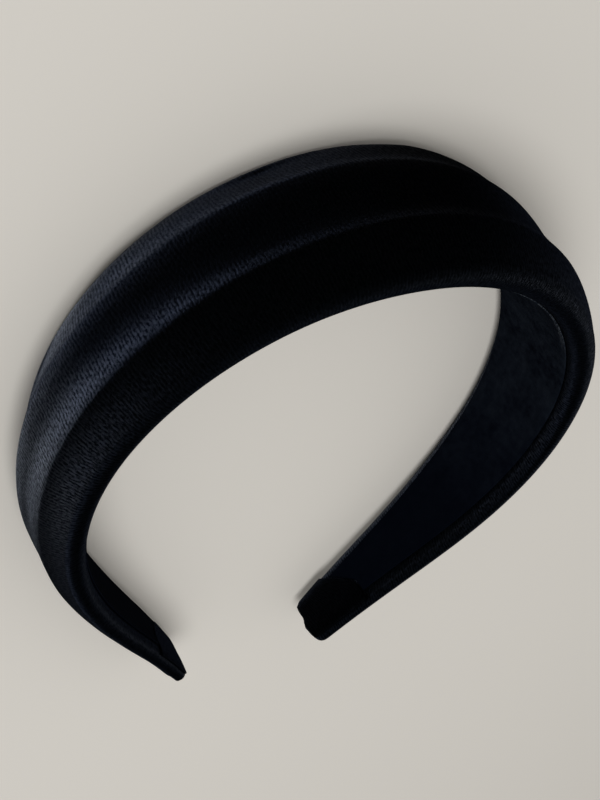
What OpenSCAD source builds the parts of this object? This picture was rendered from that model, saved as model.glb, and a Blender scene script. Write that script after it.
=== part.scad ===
// Wide padded headband, lying on its side as it rests on a table.
// Millimetres. X runs from one leg to the other, Y from the crown to the tips, Z up.
// The origin is the middle of the footprint, on the surface that the band lies on.

/* [Arch] */
// Length along the inner face, from the middle of the crown to a tip
half_length = 180; // [160:1:200]
// Widest turn of a leg away from the crown's own direction, in degrees
leg_turn = 126; // [110:1:135]

/* [Band] */
// Width at the middle of the crown
crown_width = 41; // [32:0.5:48]
// Width at the tips
tip_width = 13; // [10:0.5:18]
// Thickness of the padding at the middle of the crown, under the crests
crown_thickness = 12.5; // [9:0.5:15]
// Thickness at the tips
tip_thickness = 5; // [4:0.5:7]

/* [Crests and edges] */
// Distance of a crest from the band's middle line, as a share of half the width
crest_place = 0.45; // [0.35:0.01:0.55]
// Distance of an edge roll's top from the middle line, as a share of half the width
roll_place = 0.84; // [0.75:0.01:0.9]
// Height of the edge rolls, as a share of the thickness
roll_height = 0.65; // [0.5:0.01:0.8]
// Depth of the middle flute, as a share of the thickness
middle_sag = 0.13; // [0:0.01:0.25]
// Depth of the flutes beside the edge rolls, as a share of the thickness
side_sag = 0.05; // [0:0.01:0.12]
// Rounding where an edge roll meets the inner face
inner_round = 2; // [1:0.1:3]

/* [Lining and end flaps] */
// Width of the cover that shows along each edge of the inner face
turned_edge = 3.5; // [2:0.1:6]
// Thickness of the lining
lining_thickness = 1; // [0.6:0.1:1.5]
// Length of an end flap
flap_length = 15; // [10:0.5:20]
// Thickness of an end flap
flap_thickness = 1.3; // [1:0.1:1.6]
// Space left between two pieces
piece_gap = 0.15; // [0.1:0.05:0.3]

/* [Hidden] */

satin_colour = [0.05, 0.05, 0.06];
lining_colour = [0.09, 0.1, 0.12];
flap_colour = [0.03, 0.03, 0.035];

// Stations at equal steps from the crown to the tip. The columns are the turn as a
// share of leg_turn, the width as a share of the way from the tip's to the crown's,
// and the thickness in the same way.
TURN = 0;
WIDTH = 1;
THICKNESS = 2;
stations = [
    [0,     1,    1],
    [0.226, 0.93, 0.88],
    [0.46,  0.8,  0.72],
    [0.714, 0.64, 0.56],
    [0.917, 0.45, 0.4],
    [1,     0.21, 0.21],
    [0.968, 0,    0]
];

// Rings from the crown to a tip, and points on the curves of a section
ring_count = 40;
ring_step = half_length / ring_count;
roll_points = 6;
side_points = 4;
middle_points = 8;

// Smooth reading of one column between the stations. Beyond the crown the column
// goes on mirrored, with its sign turned when it is odd.
function cubic(a, b, c, d, t) =
    b + t / 2 * (c - a + t * (2 * a - 5 * b + 4 * c - d + t * (3 * (b - c) + d - a)));
function row(column, i) =
    let (last = len(stations) - 1)
    i < 0 ? (column == TURN ? -1 : 1) * stations[-i][column]
    : i > last ? 2 * stations[last][column] - stations[last - 1][column]
    : stations[i][column];
function reading(column, along) =
    let (u = along / half_length * (len(stations) - 1))
    let (i = min(floor(u), len(stations) - 2))
    cubic(row(column, i - 1), row(column, i), row(column, i + 1), row(column, i + 2), u - i);

function turn_at(along) = leg_turn * reading(TURN, along);
function width_at(along) = tip_width + (crown_width - tip_width) * reading(WIDTH, along);
function thickness_at(along) =
    tip_thickness + (crown_thickness - tip_thickness) * reading(THICKNESS, along);

// The inner face's middle line in the arch's own plane, as [sideways, towards the tips]
half_path = [
    for (i = 0, x = 0, d = 0;
         i <= ring_count;
         x = x + ring_step * cos(turn_at((i + 0.5) * ring_step)),
         d = d + ring_step * sin(turn_at((i + 0.5) * ring_step)),
         i = i + 1)
    [x, d]
];
function path_at(along) =
    let (u = along / ring_step)
    let (i = min(floor(u), ring_count - 1))
    half_path[i] + (u - i) * (half_path[i + 1] - half_path[i]);

// A point of the band before it is laid down: along is negative on the left leg,
// across is negative at the back edge, and out is the height over the inner face.
function band_point(along, across, out) =
    let (place = path_at(abs(along)))
    let (turn = turn_at(abs(along)))
    let (side = along < 0 ? -1 : 1)
    [side * (place[0] + out * sin(turn)), place[1] - out * cos(turn), across];

// Half of a section, from the flat inner face round the edge to the middle line.
// Each point is [across, out].
function flute(from, to, sag, points) =
    [for (i = [1:points]) let (t = i / points) from + t * (to - from) - [0, 4 * sag * t * (1 - t)]];
function roll_lower(half, top, r) =
    [for (i = [0:roll_points / 2]) let (a = -90 + 90 * i / (roll_points / 2))
        [half - r + r * cos(a), top / 2 * (1 + sin(a))]];
function roll_upper(half, top, r) =
    [for (i = [1:roll_points / 2]) let (a = 90 * i / (roll_points / 2))
        [half - r + r * cos(a), top / 2 * (1 + sin(a))]];
function half_section(width, thick) =
    let (half = width / 2)
    let (top = roll_height * thick)
    let (roll_top = [roll_place * half, top])
    let (crest = [crest_place * half, thick])
    let (middle = flute(crest, [-crest[0], thick], middle_sag * thick, middle_points))
    concat(
        roll_lower(half, top, min(inner_round, width / 10)),
        roll_upper(half, top, half - roll_top[0]),
        flute(roll_top, crest, side_sag * thick, side_points),
        [for (i = [0:middle_points / 2 - 1]) middle[i]]
    );
function section(width, thick) =
    let (front = half_section(width, thick))
    let (last = len(front) - 1)
    concat(front, [for (i = [1:last]) let (p = front[last - i]) [-p[0], p[1]]]);

// How far along the band each ring of the cover lies, and how much the section is
// drawn in there: the last rings round the tip off
tip_rings = [[1.8, 1], [0.6, 0.93], [0, 0.76]];
function end_draw(along) =
    let (left = half_length - abs(along))
    left >= 1.8 ? 1 : lookup(left, [for (r = tip_rings) r]);
half_alongs = concat(
    [for (i = [0:ring_count - 1]) i * ring_step],
    [for (r = tip_rings) half_length - r[0]]
);
alongs = concat(
    [for (i = [len(half_alongs) - 1:-1:1]) -half_alongs[i]],
    half_alongs
);

function cover_ring(along) =
    let (draw = end_draw(along))
    let (s = abs(along))
    let (thick = thickness_at(s))
    [for (p = section(width_at(s) * draw, thick * draw))
        band_point(along, p[0], p[1] + thick * (1 - draw) / 2)];
cover_rings = [for (s = alongs) cover_ring(s)];

// The band lies on its back edge. It tips forward until its crown and its legs both
// touch the surface, which a bisection finds.
crown_points = [for (i = [0:len(alongs) - 1]) if (abs(alongs[i]) < half_length / 4) each cover_rings[i]];
leg_points = [for (i = [0:len(alongs) - 1]) if (abs(alongs[i]) >= half_length / 4) each cover_rings[i]];
function lowest(points, tilt) = min([for (p = points) p[2] * cos(tilt) - p[1] * sin(tilt)]);
function settle(low, high, rounds) =
    let (mid = (low + high) / 2)
    rounds == 0 ? mid
    : lowest(crown_points, mid) < lowest(leg_points, mid) ? settle(mid, high, rounds - 1)
    : settle(low, mid, rounds - 1);
rest_tilt = settle(0, 12, 16);
rest_lift = -min(lowest(crown_points, rest_tilt), lowest(leg_points, rest_tilt));
rest_depths = [for (ring = cover_rings) for (p = ring) p[1] * cos(rest_tilt) + p[2] * sin(rest_tilt)];
rest_shift = -(min(rest_depths) + max(rest_depths)) / 2;

module laid_down() {
    translate([0, rest_shift, rest_lift])
        rotate([-rest_tilt, 0, 0])
            children();
}

// A closed solid through equal rings of points
module swept(rings) {
    n = len(rings[0]);
    last = len(rings) - 1;
    points = [for (ring = rings) each ring];
    walls = [for (i = [0:last - 1]) for (j = [0:n - 1])
        let (a = i * n + j)
        let (b = i * n + (j + 1) % n)
        each [[a, b + n, b], [a, a + n, b + n]]];
    start_cap = [for (j = [0:n - 1]) j];
    end_cap = [for (j = [n - 1:-1:0]) last * n + j];
    polyhedron(points, concat(walls, [start_cap], [end_cap]), convexity = 8);
}

module padded_cover() {
    color(satin_colour)
        laid_down()
            swept(cover_rings);
}

// A thin strip on the inner face, with its lower corners rounded
function strip_ring(along, width, thick) =
    let (r = thick * 0.6)
    let (half = width / 2)
    let (under = -piece_gap - thick)
    [for (p = [
        [half, -piece_gap],
        [-half, -piece_gap],
        [-half, under + r],
        [-half + 0.3 * r, under + 0.3 * r],
        [-half + r, under],
        [half - r, under],
        [half - 0.3 * r, under + 0.3 * r],
        [half, under + r]
    ]) band_point(along, p[0], p[1])];

lining_end = half_length - flap_length - piece_gap;
lining_count = 2 * floor(lining_end / ring_step);
lining_rings = [for (i = [0:lining_count])
    let (along = lining_end * (2 * i / lining_count - 1))
    strip_ring(along, width_at(abs(along)) - 2 * turned_edge, lining_thickness)];

module lining() {
    color(lining_colour)
        laid_down()
            swept(lining_rings);
}

// The flap is a little narrower than the band and is rounded at the tip
flap_edge = 0.8;
flap_rows = [[1, 1], [0.8, 1], [0.6, 1], [0.4, 1], [0.2, 1], [0.09, 0.95], [0.04, 0.82]];
function flap_rings(side) =
    [for (r = side < 0 ? [for (i = [len(flap_rows) - 1:-1:0]) flap_rows[i]] : flap_rows)
        let (along = half_length - r[0] * flap_length)
        strip_ring(side * along, (width_at(along) - 2 * flap_edge) * r[1], flap_thickness)];

module end_flap(side) {
    color(flap_colour)
        laid_down()
            swept(flap_rings(side));
}
module end_flap_left() {
    end_flap(-1);
}
module end_flap_right() {
    end_flap(1);
}

padded_cover();
lining();
end_flap_left();
end_flap_right();
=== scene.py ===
# Wide padded headband lying on a pale table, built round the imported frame
import math

import bpy
import numpy as np
from mathutils import Matrix, Vector, noise


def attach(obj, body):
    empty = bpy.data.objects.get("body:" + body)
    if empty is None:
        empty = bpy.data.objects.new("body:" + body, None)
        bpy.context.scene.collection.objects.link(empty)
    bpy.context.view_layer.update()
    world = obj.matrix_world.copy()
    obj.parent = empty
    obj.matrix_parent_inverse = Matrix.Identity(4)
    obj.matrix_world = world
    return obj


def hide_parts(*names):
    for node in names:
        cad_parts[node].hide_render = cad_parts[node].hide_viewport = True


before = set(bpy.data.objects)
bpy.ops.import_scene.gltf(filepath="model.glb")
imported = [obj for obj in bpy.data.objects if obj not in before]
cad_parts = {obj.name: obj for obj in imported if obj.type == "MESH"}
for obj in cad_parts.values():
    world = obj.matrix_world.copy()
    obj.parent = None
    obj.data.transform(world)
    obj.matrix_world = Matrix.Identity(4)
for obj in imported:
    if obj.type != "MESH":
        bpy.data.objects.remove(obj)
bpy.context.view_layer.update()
mm = 0.001

# The band's measures, in millimetres and degrees, as in the CAD model
band = {
    "halfLength": 180, "legTurn": 126,
    "crownWidth": 41, "tipWidth": 13,
    "crownThickness": 12.5, "tipThickness": 5,
    # how it comes to rest on the table: the values that the CAD model works out
    "tilt": 4.75882, "lift": 20.0923, "shift": -61.9214,
    # shares at equal steps from the crown to a tip
    "turnShares": (0, 0.226, 0.46, 0.714, 0.917, 1, 0.968),
    "widthShares": (1, 0.93, 0.8, 0.64, 0.45, 0.21, 0),
    "thicknessShares": (1, 0.88, 0.72, 0.56, 0.4, 0.21, 0),
    "pathStep": 0.5, "pastTip": 3,
}


def clamp(value, low=0, high=1):
    return min(max(value, low), high)


def stationShare(name, i):
    shares = band[name]
    last = len(shares) - 1
    if i < 0:  # mirrored at the crown, where the turn changes its sign
        return (-1 if name == "turnShares" else 1) * shares[-i]
    if i > last:  # runs on straight past the tip
        return 2 * shares[last] - shares[last - 1]
    return shares[i]


def shareAt(name, along):
    # a smooth curve through the shares at the stations
    steps = len(band[name]) - 1
    u = along / band["halfLength"] * steps
    i = min(int(u), steps - 1)
    t = u - i
    before, start, end, after = (stationShare(name, i + k) for k in (-1, 0, 1, 2))
    bend = 2 * before - 5 * start + 4 * end - after
    return start + t / 2 * (end - before + t * (bend + t * (3 * (start - end) + after - before)))


def turnAt(along):
    return math.radians(band["legTurn"] * shareAt("turnShares", abs(along)))


def widthAt(along):
    spare = band["crownWidth"] - band["tipWidth"]
    return band["tipWidth"] + spare * shareAt("widthShares", abs(along))


def thicknessAt(along):
    spare = band["crownThickness"] - band["tipThickness"]
    return band["tipThickness"] + spare * shareAt("thicknessShares", abs(along))


def walkHalfPath():
    # the inner face's middle line, in short steps from the crown to a little past a tip
    step, end = band["pathStep"], band["halfLength"]
    path = [(0.0, 0.0)]
    while len(path) <= (end + band["pastTip"]) / step:
        turn = turnAt(min((len(path) - 0.5) * step, end))
        side, depth = path[-1]
        path.append((side + step * math.cos(turn), depth + step * math.sin(turn)))
    return path


halfPath = walkHalfPath()


def onBand(along, across, out):
    # a point of the band as it lies on the table, in metres
    u = abs(along) / band["pathStep"]
    i = min(int(u), len(halfPath) - 2)
    (startSide, startDepth), (endSide, endDepth) = halfPath[i], halfPath[i + 1]
    turn = turnAt(min(abs(along), band["halfLength"]))
    side = startSide + (u - i) * (endSide - startSide) + out * math.sin(turn)
    depth = startDepth + (u - i) * (endDepth - startDepth) - out * math.cos(turn)
    tilt = math.radians(band["tilt"])
    return Vector((
        math.copysign(side, along) if along else side,
        depth * math.cos(tilt) + across * math.sin(tilt) + band["shift"],
        -depth * math.sin(tilt) + across * math.cos(tilt) + band["lift"],
    )) * mm


def ripple(wave, along, share, side=1):
    # a soft random height, with its waves' length along the band and their number across it
    spot = Vector((along / wave["length"], share * wave["across"], side * wave["layer"]))
    return wave["size"] * noise.noise(spot)


# The camera: its place in millimetres, the directions to the right and up in its picture, and its lens
view = {
    "place": (148.41, -201.03, 209.36),
    "right": (-0.86818, -0.18907, 0.45882),
    "up": (-0.15863, -0.77033, -0.61759),
    "lens": 62.1547, "sensor": 36,
    "clip": (0.01, 20),  # metres
}


def addCamera():
    right, up = Vector(view["right"]).normalized(), Vector(view["up"]).normalized()
    turned = Matrix((right, up, right.cross(up))).transposed().to_4x4()
    bpy.ops.object.camera_add()
    camera = bpy.context.active_object
    camera.name = "photoCamera"
    camera.matrix_world = Matrix.Translation(Vector(view["place"]) * mm) @ turned
    camera.data.lens = view["lens"]
    camera.data.sensor_width = view["sensor"]
    camera.data.clip_start, camera.data.clip_end = view["clip"]
    bpy.context.scene.camera = camera


addCamera()
print("camera placed")


def newMaterial(name):
    material = bpy.data.materials.new(name)
    material.use_nodes = True
    return material, material.node_tree, material.node_tree.nodes["Principled BSDF"]


def setInputs(tree, node, inputs):
    # an input, by its name or number, takes another node's output or a plain value
    for name, value in inputs.items():
        if isinstance(value, bpy.types.NodeSocket):
            tree.links.new(value, node.inputs[name])
        else:
            node.inputs[name].default_value = value


def addNode(tree, kind, inputs, **settings):
    node = tree.nodes.new(kind)
    for name, value in settings.items():
        setattr(node, name, value)
    setInputs(tree, node, inputs)
    return node


def calculate(tree, operation, *values):
    return addNode(tree, "ShaderNodeMath", dict(enumerate(values)), operation=operation).outputs[0]


def mapRange(tree, value, source, target=(0, 1), kind="LINEAR"):
    inputs = {"Value": value, "From Min": source[0], "From Max": source[1]}
    inputs.update({"To Min": target[0], "To Max": target[1]})
    return addNode(tree, "ShaderNodeMapRange", inputs, interpolation_type=kind).outputs[0]


def mixColours(tree, share, low, high, blend="MIX"):
    # the colours are inputs 6 and 7 of this node, and the mixed one is output 2
    inputs = {0: share, 6: low, 7: high}
    return addNode(tree, "ShaderNodeMix", inputs, data_type="RGBA", blend_type=blend).outputs[2]


def addNoise(tree, place, scale, detail=1, roughness=0.5):
    inputs = {"Vector": place, "Scale": scale, "Detail": detail, "Roughness": roughness}
    return addNode(tree, "ShaderNodeTexNoise", inputs).outputs


def stretched(tree, place, scale):
    return addNode(tree, "ShaderNodeMapping", {"Vector": place, "Scale": scale}).outputs[0]


def pieceMap(tree):
    return addNode(tree, "ShaderNodeUVMap", {}, uv_map="UVMap").outputs[0]


def mapPlace(tree):
    # the place across the piece's own map, and how far from the map's middle it is along it
    place = addNode(tree, "ShaderNodeSeparateXYZ", {"Vector": pieceMap(tree)}).outputs
    away = calculate(tree, "ABSOLUTE", calculate(tree, "SUBTRACT", place[0], 0.5))
    return place[1], away


def addBump(tree, height, depth):
    inputs = {"Strength": 1.0, "Distance": depth * mm, "Height": height}
    return addNode(tree, "ShaderNodeBump", inputs).outputs[0]


# How far the satin pieces' maps reach along them and across them, in millimetres
maps = {"cover": (400, 120), "flap": (20, 13)}

# A painted highlight along the satin's two crests and a painted shade in the flute between them, multiplied
# into how much light the satin throws back. Places and distances are shares of the cover's map, and a
# distance along the band starts at the crown. A pair named place, gain, flute or narrowing is the value
# nearer the crown and the one on a leg, and any other pair is where a change starts and ends.
paintedCrestHighlight = {
    # the two crests' lines, and how much brighter their painted highlight is
    "crests": (
        {"place": (0.571, 0.538), "gain": (4.0, 3.4)},
        {"place": (0.419, 0.408), "gain": (1.8, 1.0)},
    ),
    # where along the band each value goes from the crown's to the leg's
    "placeOver": (0.03, 0.165), "gainOver": (0.06, 0.15), "narrowingOver": (0.06, 0.17),
    # distances from a line are halved on the legs, which makes it twice as wide there
    "narrowing": (1, 0.5),
    # how a line rises and falls off across the band, and how it fades along it to a last share
    "rising": (-0.026, 0), "falling": (0.002, 0.014), "fading": (0.16, 0.22), "faded": 0.1,
    # the flute's middle, the share of the satin's reflection that the painted shade takes away there, and
    # how that ends at the flute's sides and along it
    "flute": (0.519, 0.457), "fluteOver": (0.075, 0.17), "paintedFluteShade": 0.6, "fluteSides": (0.012, 0.034),
    "fluteStart": (0.03, 0.07), "fluteEnd": (0.16, 0.2),
}


def addPaintedCrestHighlight(tree, finish):
    # painted highlight: along each crest a line that rises slowly and falls off fast
    across, away = mapPlace(tree)
    narrowing = mapRange(tree, away, finish["narrowingOver"], finish["narrowing"])
    lines = []
    for crest in finish["crests"]:
        place = mapRange(tree, away, finish["placeOver"], crest["place"])
        offset = calculate(tree, "MULTIPLY", calculate(tree, "SUBTRACT", across, place), narrowing)
        rising = mapRange(tree, offset, finish["rising"], (0, 1), "SMOOTHSTEP")
        falling = mapRange(tree, offset, finish["falling"], (1, 0), "SMOOTHSTEP")
        gain = mapRange(tree, away, finish["gainOver"], crest["gain"])
        lines.append(calculate(tree, "MULTIPLY", calculate(tree, "MULTIPLY", rising, falling), gain))
    fading = mapRange(tree, away, finish["fading"], (1, finish["faded"]))
    crests = calculate(tree, "MULTIPLY_ADD", calculate(tree, "ADD", *lines), fading, 1.0)
    # painted shade in the flute between them, from the crown down to the legs
    middle = mapRange(tree, away, finish["fluteOver"], finish["flute"])
    offset = calculate(tree, "ABSOLUTE", calculate(tree, "SUBTRACT", across, middle))
    acrossFlute = mapRange(tree, offset, finish["fluteSides"], (finish["paintedFluteShade"], 0), "SMOOTHSTEP")
    starting = mapRange(tree, away, finish["fluteStart"], (0, 1), "SMOOTHSTEP")
    ending = mapRange(tree, away, finish["fluteEnd"], (1, 0), "SMOOTHSTEP")
    fluteShade = calculate(tree, "MULTIPLY", acrossFlute, calculate(tree, "MULTIPLY", starting, ending))
    return calculate(tree, "MULTIPLY", crests, calculate(tree, "SUBTRACT", 1.0, fluteShade))


satinFinish = {
    "dark": (0.0002, 0.0005, 0.0007, 1), "light": (0.0007, 0.0012, 0.0018, 1),
    # how much light the threads throw back, sunk between others and on top: the sunk threads' low value is
    # painted shade between the threads
    "sunk": (0.03, 0.03, 0.03, 1), "raised": (1.3, 1.3, 1.3, 1),
    "roughLow": 0.37, "roughHigh": 0.6, "anisotropic": 0.6, "specular": 0.5,
    # millimetres: ribs across the band, the threads between them, and how deep the weave is
    "ribPitch": 0.74, "threadSize": (0.45, 1.2), "ribDepth": 0.05,
    # how far the threads wander, in millimetres, and the scales of the two noises that move them
    "drift": 0.9, "driftScale": 0.14, "jitter": 0.3, "jitterScale": (0.9, 0.5, 1),
    # shares of the weave's height: a rib's, what every other rib has more, and a thread's
    "ribHeight": 0.3, "strongerBy": 0.22, "threadHeight": 0.6,
    # the threads' noise, and its values that mean no thread and a whole one
    "threadDetail": 3, "threadRough": 0.7, "threadNoise": (0.42, 0.58),
    "heights": (0.15, 0.85),  # of the weave where it counts as sunk and as on top
    "waveRepeat": 0.31416,  # how far apart a wave texture's bands are at scale 1
    "paintedHighlight": paintedCrestHighlight,
}
flapFinish = {
    **satinFinish,
    "dark": (0.0001, 0.0002, 0.0003, 1), "light": (0.0004, 0.0007, 0.0009, 1),
    "specular": 0.12, "ribDepth": 0.02, "paintedHighlight": None,
}


def addRibs(tree, place, scale):
    inputs = {"Vector": place, "Scale": scale}
    return addNode(tree, "ShaderNodeTexWave", inputs, wave_type="BANDS", bands_direction="X").outputs["Fac"]


def wandered(tree, place, noisePlace, scale, reach):
    # moves a place along the band by a smooth noise
    by = addNoise(tree, noisePlace, scale)["Color"]
    inputs = {0: by, 1: (reach, 0, 0), 2: place}
    return addNode(tree, "ShaderNodeVectorMath", inputs, operation="MULTIPLY_ADD").outputs[0]


def makeSatin(name, finish, mapSize):
    material, tree, shader = newMaterial(name)
    millimetres = stretched(tree, pieceMap(tree), (*mapSize, 1))
    # threads wander a little, slowly and then in short steps
    swayed = wandered(tree, millimetres, millimetres, finish["driftScale"], finish["drift"])
    jitterPlace = stretched(tree, millimetres, finish["jitterScale"])
    woven = wandered(tree, swayed, jitterPlace, 1.0, finish["jitter"])
    # every other rib is the stronger one
    waveScale = finish["waveRepeat"] / finish["ribPitch"]
    pairs = addRibs(tree, woven, waveScale / 2)
    strength = calculate(tree, "MULTIPLY_ADD", pairs, finish["strongerBy"], finish["ribHeight"])
    rib = calculate(tree, "MULTIPLY", addRibs(tree, woven, waveScale), strength)
    width, length = finish["threadSize"]
    threadPlace = stretched(tree, woven, (1 / width, 1 / length, 1))
    threads = addNoise(tree, threadPlace, 1.0, finish["threadDetail"], finish["threadRough"])["Fac"]
    thread = mapRange(tree, threads, finish["threadNoise"], (0, finish["threadHeight"]))
    weave = calculate(tree, "ADD", rib, thread)
    # where a thread lies on top it is smoother, lighter and shines more; a sunk thread's dimmer reflection
    # is painted shade between the threads
    onTop = mapRange(tree, weave, finish["heights"])
    tint = mixColours(tree, onTop, finish["sunk"], finish["raised"])
    # the crests' painted highlight and the flute's painted shade are multiplied into how much light the
    # satin throws back
    if finish["paintedHighlight"]:
        tint = mixColours(tree, 1.0, tint, addPaintedCrestHighlight(tree, finish["paintedHighlight"]), "MULTIPLY")
    tangent = addNode(tree, "ShaderNodeTangent", {}, direction_type="UV_MAP", uv_map="UVMap")
    setInputs(tree, shader, {
        "Base Color": mixColours(tree, onTop, finish["dark"], finish["light"]),
        "Specular Tint": tint,
        "Roughness": mapRange(tree, onTop, (0, 1), (finish["roughHigh"], finish["roughLow"])),
        "Normal": addBump(tree, weave, finish["ribDepth"]),
        "Tangent": tangent.outputs[0],
        "Anisotropic": finish["anisotropic"],
        "Specular IOR Level": finish["specular"],
    })
    return material


velvetFinish = {
    "dark": (0.0007, 0.0014, 0.0040, 1), "light": (0.0080, 0.0113, 0.0172, 1),
    # the front edge's lighter colour is loose fuzz and partly a painted highlight where the edge catches
    # light
    "edgeFuzzAndHighlight": (0.035, 0.040, 0.048, 1), "pressed": (0.5, 0.6, 0.7, 1), "brushedUp": (1.2, 1.4, 1.7, 1),
    "rough": 0.7, "sheen": 0.004, "sheenRough": 0.5, "sheenTint": (0.45, 0.55, 0.75, 1), "specular": 0.02,
    # marks in the cloth: their size in millimetres, and their noise's detail and roughness
    "mottles": (2.0, 4, 0.65), "brushed": (8.0, 2, 0.5), "nap": (0.3, 2, 0.5), "dots": (0.8, 1, 0.5),
    "napDepth": 0.06,
    # how much the wide and the finest marks count beside the mottles, and which sums are dark and light
    "brushShare": 0.8, "napShare": 0.3, "sums": (0.75, 1.35),
    # painted shade: where the strip grows darker, by distance from its middle, and how light it stays at the
    # ends
    "paintedShade": (0.22, 0.4), "endShare": 0.08,
    # the lighter edge, loose fuzz and partly a painted highlight: where it starts across the strip, how
    # ragged it is and where it stops along it
    "edge": (0.945, 0.965), "ragged": 0.07, "edgeEnd": (0.165, 0.2),
    # dashes along that edge: the noise between a gap and a dash, and how much of the lighter colour a gap
    # keeps
    "dashes": (0.44, 0.58), "gapFuzzAndHighlight": 0.05,
}


def addMarks(tree, place, marks):
    size, detail, roughness = marks
    return addNoise(tree, place, 1 / (size * mm), detail, roughness)["Fac"]


def makeVelvet(name, finish):
    material, tree, shader = newMaterial(name)
    place = addNode(tree, "ShaderNodeTexCoord", {}).outputs["Object"]
    kinds = ("mottles", "brushed", "nap", "dots")
    mottles, brushed, nap, dots = (addMarks(tree, place, finish[kind]) for kind in kinds)
    wide = calculate(tree, "MULTIPLY_ADD", brushed, finish["brushShare"], mottles)
    share = mapRange(tree, calculate(tree, "MULTIPLY_ADD", nap, finish["napShare"], wide), finish["sums"])
    # painted shade: the strip is darker towards its two ends
    across, away = mapPlace(tree)
    paintedShade = mapRange(tree, away, finish["paintedShade"], (1, finish["endShare"]))
    lit = calculate(tree, "MULTIPLY", share, paintedShade)
    tone = mixColours(tree, lit, finish["dark"], finish["light"])
    # the front cut edge is lighter round the bend, in short dashes: loose fuzz, and partly a painted
    # highlight where the edge catches light
    uneven = calculate(tree, "MULTIPLY_ADD", dots, finish["ragged"], -finish["ragged"] / 2)
    edge = mapRange(tree, calculate(tree, "ADD", across, uneven), finish["edge"])
    bend = mapRange(tree, away, finish["edgeEnd"], (1, 0))
    dashed = mapRange(tree, dots, finish["dashes"], (finish["gapFuzzAndHighlight"], 1))
    fuzzAndHighlight = calculate(tree, "MULTIPLY", calculate(tree, "MULTIPLY", edge, bend), dashed)
    setInputs(tree, shader, {
        "Base Color": mixColours(tree, fuzzAndHighlight, tone, finish["edgeFuzzAndHighlight"]),
        "Specular Tint": mixColours(tree, share, finish["pressed"], finish["brushedUp"]),
        "Normal": addBump(tree, nap, finish["napDepth"]),
        "Roughness": finish["rough"],
        "Sheen Weight": finish["sheen"],
        "Sheen Roughness": finish["sheenRough"],
        "Sheen Tint": finish["sheenTint"],
        "Specular IOR Level": finish["specular"],
    })
    return material


satin = makeSatin("satin", satinFinish, maps["cover"])
flapSatin = makeSatin("flapSatin", flapFinish, maps["flap"])
velvet = makeVelvet("velvet", velvetFinish)
print("materials made")


def addGrid(name, rows, columns):
    # a flat grid, whose points are then laid on the band by row and column
    bpy.ops.object.select_all(action="DESELECT")
    bpy.ops.mesh.primitive_grid_add(x_subdivisions=rows, y_subdivisions=columns, size=2)
    piece = bpy.context.active_object
    piece.name = piece.data.name = name
    return piece


def layGrid(piece, rows, columns, place):
    # place(row, column) gives the point in metres and its place on the map
    mesh = piece.data
    cells = [(round((v.co.x + 1) / 2 * rows), round((v.co.y + 1) / 2 * columns)) for v in mesh.vertices]
    placed = {cell: place(*cell) for cell in set(cells)}
    uv = mesh.uv_layers.active.data
    for loop in mesh.loops:
        uv[loop.index].uv = placed[cells[loop.vertex_index]][1]
    for v, cell in zip(mesh.vertices, cells):
        v.co = placed[cell][0]
    mesh.update()


def selectInEditMode(piece):
    bpy.ops.object.select_all(action="DESELECT")
    piece.select_set(True)
    bpy.context.view_layer.objects.active = piece
    bpy.ops.object.mode_set(mode="EDIT")
    bpy.ops.mesh.select_all(action="SELECT")


def closeMesh(piece, merge=0.005):
    # merge is the distance in millimetres under which two points become one
    selectInEditMode(piece)
    bpy.ops.mesh.remove_doubles(threshold=merge * mm)
    bpy.ops.mesh.normals_make_consistent(inside=False)
    bpy.ops.object.mode_set(mode="OBJECT")
    bpy.ops.object.shade_smooth()


def flipFaces(piece):
    selectInEditMode(piece)
    bpy.ops.mesh.flip_normals()
    bpy.ops.object.mode_set(mode="OBJECT")


def applyModifier(piece, kind, **values):
    modifier = piece.modifiers.new(kind.lower(), kind)
    for key, value in values.items():
        setattr(modifier, key, value)
    bpy.context.view_layer.objects.active = piece
    bpy.ops.object.modifier_apply(modifier=modifier.name)


def thicken(piece, thick, offset, rounding):
    # gives a sheet its thickness and rounds its cut edges
    applyModifier(piece, "SOLIDIFY", thickness=thick * mm, offset=offset)
    applyModifier(piece, "BEVEL", width=rounding * mm, segments=3,
                  limit_method="ANGLE", angle_limit=math.radians(50))
    bpy.ops.object.shade_smooth()


def sheetArea(piece):
    return sum(face.area for face in piece.data.polygons)


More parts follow.
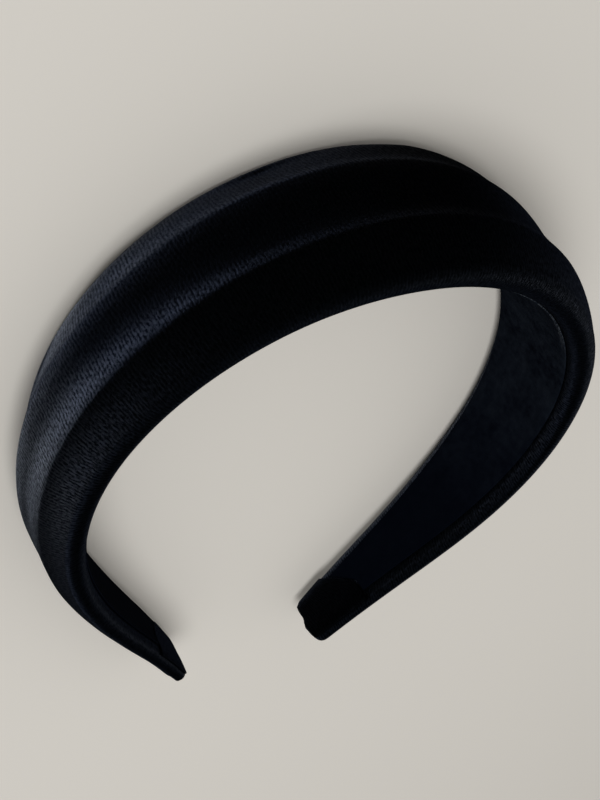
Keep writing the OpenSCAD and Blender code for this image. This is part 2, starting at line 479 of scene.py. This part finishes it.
coverShape = {
    "rings": 240,
    # the outer face from the back roll to the front one: a place as a share of half the width, and
    # the height there as a share of the thickness, at the crown, at the bend and on the legs
    "outer": (
        (-0.84, 0.70, 0.66, 0.60), (-0.60, 0.80, 0.82, 0.86), (-0.44, 0.91, 0.95, 0.98),
        (-0.30, 0.93, 0.95, 0.97), (0, 0.89, 0.87, 0.92), (0.25, 0.84, 0.89, 0.95),
        (0.46, 0.90, 0.93, 0.94), (0.60, 0.81, 0.86, 0.88), (0.84, 0.63, 0.67, 0.69),
    ),
    "outerAlong": (0, 48, 98),  # where along the band the crown's, the bend's and the legs' heights are
    "samples": 400,  # over half the width
    # the crests are softened less than the faces beside them, in millimetres, round a place across
    "crestSoft": 0.9, "faceSoft": 1.8, "sharpPlace": 0.455, "sharpSpread": 0.09,
    # nothing is softened from here to the edge, and less over the stretch before it
    "softEnd": 0.97, "softEndOver": 0.12,
    # the edge rolls' height at the very edge, as a share of the height beside them
    "edgeShare": 0.5,
    # the back edge is padded unevenly: millimetres over or under, by place along the band
    "backRise": ((-60, 0), (-36, 1.5), (-12, 1.3), (2, 0), (18, -1.1),
                 (33, 0), (50, 0.9), (66, 0), (79, -0.8), (94, 0)),
    "backRiseFrom": 0.5, "backRiseOver": 0.34,
    # the inner edges' rounding in millimetres, and the most that it may be of half the width
    "innerRound": 3.4, "innerRoundPart": 1 / 3.6, "innerAngles": (0, -20, -40, -58, -74, -90),
    "innerColumns": 4,
    # the columns' places on each side, closest together at the crest
    "columns": (0.09, 0.18, 0.25, 0.305, 0.35, 0.385, 0.41, 0.43, 0.445, 0.46, 0.475, 0.49, 0.51,
                0.54, 0.58, 0.64, 0.7, 0.77, 0.83, 0.88, 0.92, 0.955, 0.98),
    "crest": 0.46,
    # how far the columns near the back crest are moved over, and the spread of that
    "backCrest": -0.015, "backCrestSpread": 0.12,
    # the last rings at a tip: millimetres before its end, and the section's size as a share
    "tipRows": ((2.5, 1), (1.4, 0.985), (0.6, 0.93), (0.15, 0.84), (0, 0.7), (-0.05, 0.4), (-0.05, 0)),
    # folds over the last millimetres at a tip: place across, size in millimetres and width as a share
    "tipFolds": ((0.1, 1.0, 0.2), (0.45, 0.5, 0.16), (-0.7, 0.25, 0.2)), "foldOver": 6,
    # the crests wander sideways, the front one and the back one each in their own row of the noise
    "wander": {"size": 0.3, "length": 45, "place": 0.45, "spread": 0.16,
               "frontRow": 2.0, "backRow": 5.0, "layer": 0.5},
    # the padding is uneven in long waves and short ones, over the outer face alone
    "padding": ({"size": 0.12, "length": 30, "across": 1.5, "layer": 8.2},
                {"size": 0.05, "length": 7, "across": 3, "layer": 3.1}),
    # the share of the thickness at which that starts, and over which it grows
    "outerFrom": 0.3, "outerOver": 0.4,
    # past the front crest the ribs lean towards the crown: how much by place along the band,
    # and over how many millimetres
    "leanAt": (0, 55, 66, 86, 95, 180), "lean": (0, 0, 0.1, 0.38, 0.45, 0.45), "leanReach": 22,
}


def softened(values, spread):
    # evenly spaced values, each averaged with its neighbours
    reach = max(int(3 * spread), 1)
    weights = np.exp(-0.5 * (np.arange(-reach, reach + 1) / spread) ** 2)
    return np.convolve(np.pad(values, reach, mode="edge"), weights / weights.sum(), "valid")


def outerHeights(along, half, thick):
    # heights across the outer face as shares of the thickness, and the places they belong to
    samples = coverShape["samples"]
    places = np.linspace(-1, 1, 2 * samples + 1)
    knots = np.array(coverShape["outer"])
    shares = np.array([np.interp(abs(along), coverShape["outerAlong"], row[1:]) for row in knots])
    # past the last knots the face runs on straight until it meets the rounded roll
    away = (np.abs(places) - knots[-1, 0]).clip(0)
    last = np.where(places < 0, shares[0], shares[-1])
    before = np.where(places < 0, shares[1], shares[-2])
    straight = last + (last - before) / (knots[-1, 0] - knots[-2, 0]) * away
    rounded = np.sqrt((1 - (away / (1 - knots[-1, 0])) ** 2).clip(0))
    roll = last * (coverShape["edgeShare"] + (1 - coverShape["edgeShare"]) * rounded)
    raw = np.where(away > 0, np.minimum(roll, straight), np.interp(places, knots[:, 0], shares))
    # the crests are sharper than the faces between them
    crest = np.exp(-((np.abs(places) - coverShape["sharpPlace"]) / coverShape["sharpSpread"]) ** 2)
    smooth = crest * softened(raw, coverShape["crestSoft"] / half * samples)
    smooth += (1 - crest) * softened(raw, coverShape["faceSoft"] / half * samples)
    keep = ((coverShape["softEnd"] - np.abs(places)) / coverShape["softEndOver"]).clip(0, 1)
    heights = smooth * keep + raw * (1 - keep)
    rise = np.interp(along, *zip(*coverShape["backRise"])) / thick
    onBack = ((-places - coverShape["backRiseFrom"]) / coverShape["backRiseOver"]).clip(0, 1)
    return places, heights + rise * onBack * keep


def sectionSide(side, half, thick, places, heights):
    # one side of a section, from next to the outer middle round to the inner face
    shift = coverShape["backCrest"] if side < 0 else 0
    points = []
    for share in coverShape["columns"]:
        fromCrest = (share - coverShape["crest"]) / coverShape["backCrestSpread"]
        place = share + shift * math.exp(-fromCrest ** 2)
        points.append((side * place * half, float(np.interp(side * place, places, heights)) * thick))
    middle = float(np.interp(side, places, heights)) * thick
    inner = min(coverShape["innerRound"], half * coverShape["innerRoundPart"])
    for angle in coverShape["innerAngles"]:
        turn = math.radians(angle)
        points.append((side * (half - inner + inner * math.cos(turn)), middle * (1 + math.sin(turn))))
    for step in range(1, coverShape["innerColumns"] + 1):
        points.append((side * (half - inner) * (1 - step / coverShape["innerColumns"]), 0.0))
    return points


def sectionPoints(along, half, thick):
    # a section round from the inner middle past the front edge, outer middle and back edge,
    # and each point's distance from the outer middle along the surface
    places, heights = outerHeights(along, half, thick)
    front = sectionSide(1, half, thick, places, heights)
    back = sectionSide(-1, half, thick, places, heights)
    middle = [(0.0, float(np.interp(0, places, heights)) * thick)]
    points = np.array(front[::-1] + middle + back)
    run = np.concatenate([[0], np.cumsum(np.linalg.norm(np.diff(points, axis=0), axis=1))])
    return points, run[len(front)] - run


def unevenness(along, share, outward):
    # slow hand-made wander of the crests and a soft unevenness of the padding, in mm
    wander = coverShape["wander"]
    crest = math.exp(-((abs(share) - wander["place"]) / wander["spread"]) ** 2)
    row = wander["frontRow"] if share > 0 else wander["backRow"]
    sideways = wander["size"] * crest * noise.noise(Vector((along / wander["length"], row, wander["layer"])))
    height = outward * sum(ripple(wave, along, share) for wave in coverShape["padding"])
    return sideways, height


def tipFold(along, share):
    start = band["halfLength"] - coverShape["foldOver"]
    near = clamp((abs(along) - start) / coverShape["foldOver"])
    folds = coverShape["tipFolds"]
    reach = sum(size * math.exp(-((share - place) / spread) ** 2) for place, size, spread in folds)
    return near * near * reach


def coverRings():
    # each ring's place along the band, its points, their distances from the outer middle,
    # and half the width and the thickness there
    tip = coverShape["tipRows"]
    end = band["halfLength"]
    inside = np.linspace(-(end - tip[0][0]), end - tip[0][0], coverShape["rings"] + 1)
    rows = [(-(end - left), size) for left, size in reversed(tip[1:])]
    rows += [(along, 1) for along in inside]
    rows += [(end - left, size) for left, size in tip[1:]]
    rings = []
    for along, size in rows:
        onArch = clamp(along, -end, end)
        half, thick = widthAt(onArch) / 2, thicknessAt(onArch)
        points, reach = sectionPoints(onArch, half, thick)
        rings.append((along, points * size + (0, thick * (1 - size) / 2), reach, half, thick))
    return rings


def makePaddedCover():
    rings = coverRings()
    rows, columns = len(rings) - 1, len(rings[0][1]) - 1
    piece = addGrid("paddedCover", rows, columns)
    mapLength, mapAround = maps["cover"]
    outerOver = coverShape["outerOver"]

    def place(row, column):
        along, points, reach, half, thick = rings[row]
        across, out = points[column % columns]
        share = across / half
        outward = clamp(out / thick - coverShape["outerFrom"], 0, outerOver) / outerOver
        sideways, height = unevenness(along, share, outward)
        away = math.copysign(abs(along) + tipFold(along, share), along)
        fromCrest = clamp(reach[column] - coverShape["crest"] * half, 0, coverShape["leanReach"])
        lean = float(np.interp(abs(along), coverShape["leanAt"], coverShape["lean"]))
        rib = math.copysign(abs(along) + lean * fromCrest, along)
        mapped = (0.5 + rib / mapLength, 0.5 + reach[column] / mapAround)
        return onBand(away, across + sideways, out + height), mapped

    layGrid(piece, rows, columns, place)
    closeMesh(piece)
    applyModifier(piece, "SUBSURF", levels=1, render_levels=1)
    piece.data.materials.append(satin)
    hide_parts("padded_cover")
    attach(piece, "root")
    return piece


paddedCover = makePaddedCover()
print("padded cover made", len(paddedCover.data.polygons))


flapShape = {
    "rows": 18, "columns": 14,
    # millimetres: the cover beside it, the cloth, how high it stands, what is left at the tip,
    # and its edges' rounding
    "edge": 0.6, "thick": 0.35, "rise": 0.85, "tipRise": 0.6, "end": 0.6, "rounding": 0.15,
    # the free edge's place along the band, and how far it swings towards the tip at the back:
    # it bends off at a place across, faster and faster by a power
    "from": 160.4, "swing": 9.0, "bendFrom": 0.35, "bendPower": 1.3,
    # the width's share at the very end, and what each millimetre before it adds
    "endWidth": 0.84, "widening": 0.08,
    # it comes down at its sides, and at the very end to a share, which grows by 1 over so many millimetres
    "sidePower": 6, "endRise": 0.3, "riseOver": 3,
    "ripple": {"size": 0.08, "length": 4, "across": 1.5, "layer": 3.3},
    "foldShare": 0.8,
}


def flapEdge(share):
    # where the flap's free edge lies along the band, by place across
    toBack = max(flapShape["bendFrom"] - share, 0) / (flapShape["bendFrom"] + 1)
    return flapShape["from"] + flapShape["swing"] * toBack ** flapShape["bendPower"]


liningShape = {
    "rings": 200, "columns": 14,
    # millimetres: the cover's turned edges beside it, the gap under it, which the flaps have too,
    # its own slack, the gap before the flaps, and the cloth
    "turnedFront": 3.5, "turnedBack": 2.6, "gap": 0.05, "slack": 0.05, "before": 0.2,
    "thick": 0.35, "rounding": 0.2,
    "ripple": {"size": 0.12, "length": 9, "across": 2, "layer": 3},
}


def makeLining():
    rows, columns = liningShape["rings"], liningShape["columns"]
    piece = addGrid("liningStrip", rows, columns)

    def place(row, column):
        share = 2 * column / columns - 1
        along = (flapEdge(share) - liningShape["before"]) * (2 * row / rows - 1)
        front = widthAt(along) / 2 - liningShape["turnedFront"]
        back = widthAt(along) / 2 - liningShape["turnedBack"]
        across = share * (front + back) / 2 + (front - back) / 2
        pad = min(ripple(liningShape["ripple"], along, share), 0)
        out = -liningShape["gap"] - liningShape["slack"] + pad
        return onBand(along, across, out), (row / rows, column / columns)

    layGrid(piece, rows, columns, place)
    area = sheetArea(piece)
    closeMesh(piece)
    crownFace = min(piece.data.polygons, key=lambda face: face.center.y)
    if crownFace.normal.y < 0:  # the faces look into the padding, and not towards the head
        flipFaces(piece)
    thicken(piece, liningShape["thick"], 1, liningShape["rounding"])
    piece.data.materials.append(velvet)
    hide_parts("lining")
    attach(piece, "root")
    return piece, area


lining, liningArea = makeLining()
print("lining made", len(lining.data.polygons), "area", round(liningArea, 6))


def makeFlap(name, node, side):
    rows, columns = flapShape["rows"], flapShape["columns"]
    piece = addGrid(name, rows, columns)
    thick = flapShape["thick"]

    def place(row, column):
        share = 2 * column / columns - 1
        t = row / rows
        start = flapEdge(share)
        along = start + t * (band["halfLength"] - flapShape["end"] - start)
        left = band["halfLength"] - along
        widthShare = min(1, flapShape["endWidth"] + left * flapShape["widening"])
        width = (widthAt(along) - 2 * flapShape["edge"]) * widthShare
        rise = flapShape["rise"] + t * (flapShape["tipRise"] - flapShape["rise"])
        endShare = min(1, flapShape["endRise"] + left / flapShape["riseOver"])
        rise = thick + (rise - thick) * (1 - share ** flapShape["sidePower"]) * endShare
        rise += ripple(flapShape["ripple"], along, share, side)
        along += tipFold(along, share) * flapShape["foldShare"]
        out = -liningShape["gap"] - rise + thick
        return onBand(side * along, share * width / 2, out), (row / rows, column / columns)

    layGrid(piece, rows, columns, place)
    area = sheetArea(piece)
    closeMesh(piece)
    thicken(piece, thick, side, flapShape["rounding"])
    piece.data.materials.append(flapSatin)
    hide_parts(node)
    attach(piece, "root")
    return area


flapAreas = [makeFlap("endFlapLeft", "end_flap_left", -1), makeFlap("endFlapRight", "end_flap_right", 1)]
print("flaps made", [round(area, 6) for area in flapAreas])


# The table and the lights, in metres and degrees
studio = {
    "table": (0.66, 0.635, 0.59, 1), "tableSize": 8, "tableRough": 0.9, "tableSpecular": 0.1,
    "world": (1, 0.985, 0.96, 1), "worldStrength": 0.5,
    # the key's strength is its light on a square metre at the origin
    "keyToward": (0.36, -0.10, 0.93), "keyDistance": 1.1, "keySize": 0.7, "keyStrength": 1.65,
    "glossDistance": 1.0, "glossStrength": 2.5,
    # soft lights that only gloss picks up, with left and right as the camera sees them:
    # direction, half the angle they span, brightness, tint
    "gloss": {
        "underLeftFar": ((0.45, 0.52, -0.72), 3.5, 3.0, "mild"),
        "underLeft": ((0.61, 0.23, -0.76), 4, 1.8, "cool"),
        "underLeftWide": ((0.49, -0.16, -0.86), 14, 0.17, "cool"),
        "under": ((0.17, 0.14, -0.97), 4.5, 0.96, "mild"),
        "underNear": ((0, -0.39, -0.92), 10, 0.12, "cool"),
        "underFar": ((0, 0.43, -0.90), 3, 1.6, "mild"),
        "lowFar": ((0.23, 0.68, -0.70), 3, 1.7, "mild"),
        "leftFar": ((0.78, 0.62, -0.07), 5, 1.3, "mild"),
        "left": ((0.95, 0.28, 0.11), 4, 1.8, "cool"),
        "farWide": ((0.42, 0.87, 0.27), 18, 0.15, "cool"),
        "rightFarWide": ((-0.90, 0.43, -0.04), 40, 0.015, "cool"),
        "rightFar": ((-0.83, 0.48, 0.25), 7, 0.25, "mild"),
        "rightWide": ((-0.98, 0.18, 0.08), 20, 0.03, "mild"),
        "underRightWide": ((-0.40, -0.11, -0.91), 22, 0.013, "plain"),
    },
    "tints": {"plain": (1, 1, 1), "mild": (0.9, 1, 1.2), "cool": (0.8, 1, 1.6)},
}


def addTable():
    bpy.ops.object.select_all(action="DESELECT")
    bpy.ops.mesh.primitive_plane_add(size=studio["tableSize"])
    table = bpy.context.active_object
    table.name = "table"
    material, tree, shader = newMaterial("paleTable")
    setInputs(tree, shader, {
        "Base Color": studio["table"],
        "Roughness": studio["tableRough"],
        "Specular IOR Level": studio["tableSpecular"],
    })
    table.data.materials.append(material)
    # it stays out of the satin's sheen, and lets the lights under it reach the satin
    table.visible_glossy = False
    table.visible_shadow = False


def addDiskLight(name, toward, distance, size, energy):
    bpy.ops.object.light_add(type="AREA")
    light = bpy.context.active_object
    light.name = name
    direction = Vector(toward).normalized()
    light.location = direction * distance
    light.rotation_euler = direction.to_track_quat("Z", "Y").to_euler()
    light.data.shape = "DISK"
    light.data.size = size
    light.data.energy = energy
    return light


def addLights():
    world = bpy.data.worlds.new("softRoom")
    bpy.context.scene.world = world
    world.use_nodes = True
    background = world.node_tree.nodes["Background"]
    setInputs(world.node_tree, background, {"Color": studio["world"], "Strength": studio["worldStrength"]})
    world.cycles_visibility.glossy = False
    keyEnergy = studio["keyStrength"] * math.pi * studio["keyDistance"] ** 2
    key = addDiskLight("key", studio["keyToward"], studio["keyDistance"], studio["keySize"], keyEnergy)
    key.visible_glossy = False
    for name, (toward, halfAngle, bright, tint) in studio["gloss"].items():
        size = 2 * math.tan(math.radians(halfAngle)) * studio["glossDistance"]
        # a brightness is a radiance, and a disk gives off pi times that from its area
        energy = bright * studio["glossStrength"] * math.pi * math.pi * size * size / 4
        light = addDiskLight(name, toward, studio["glossDistance"], size, energy)
        light.data.color = studio["tints"][tint]
        light.visible_diffuse = False


addTable()
addLights()
bpy.context.scene.view_settings.view_transform = "Standard"
print("table and lights placed")
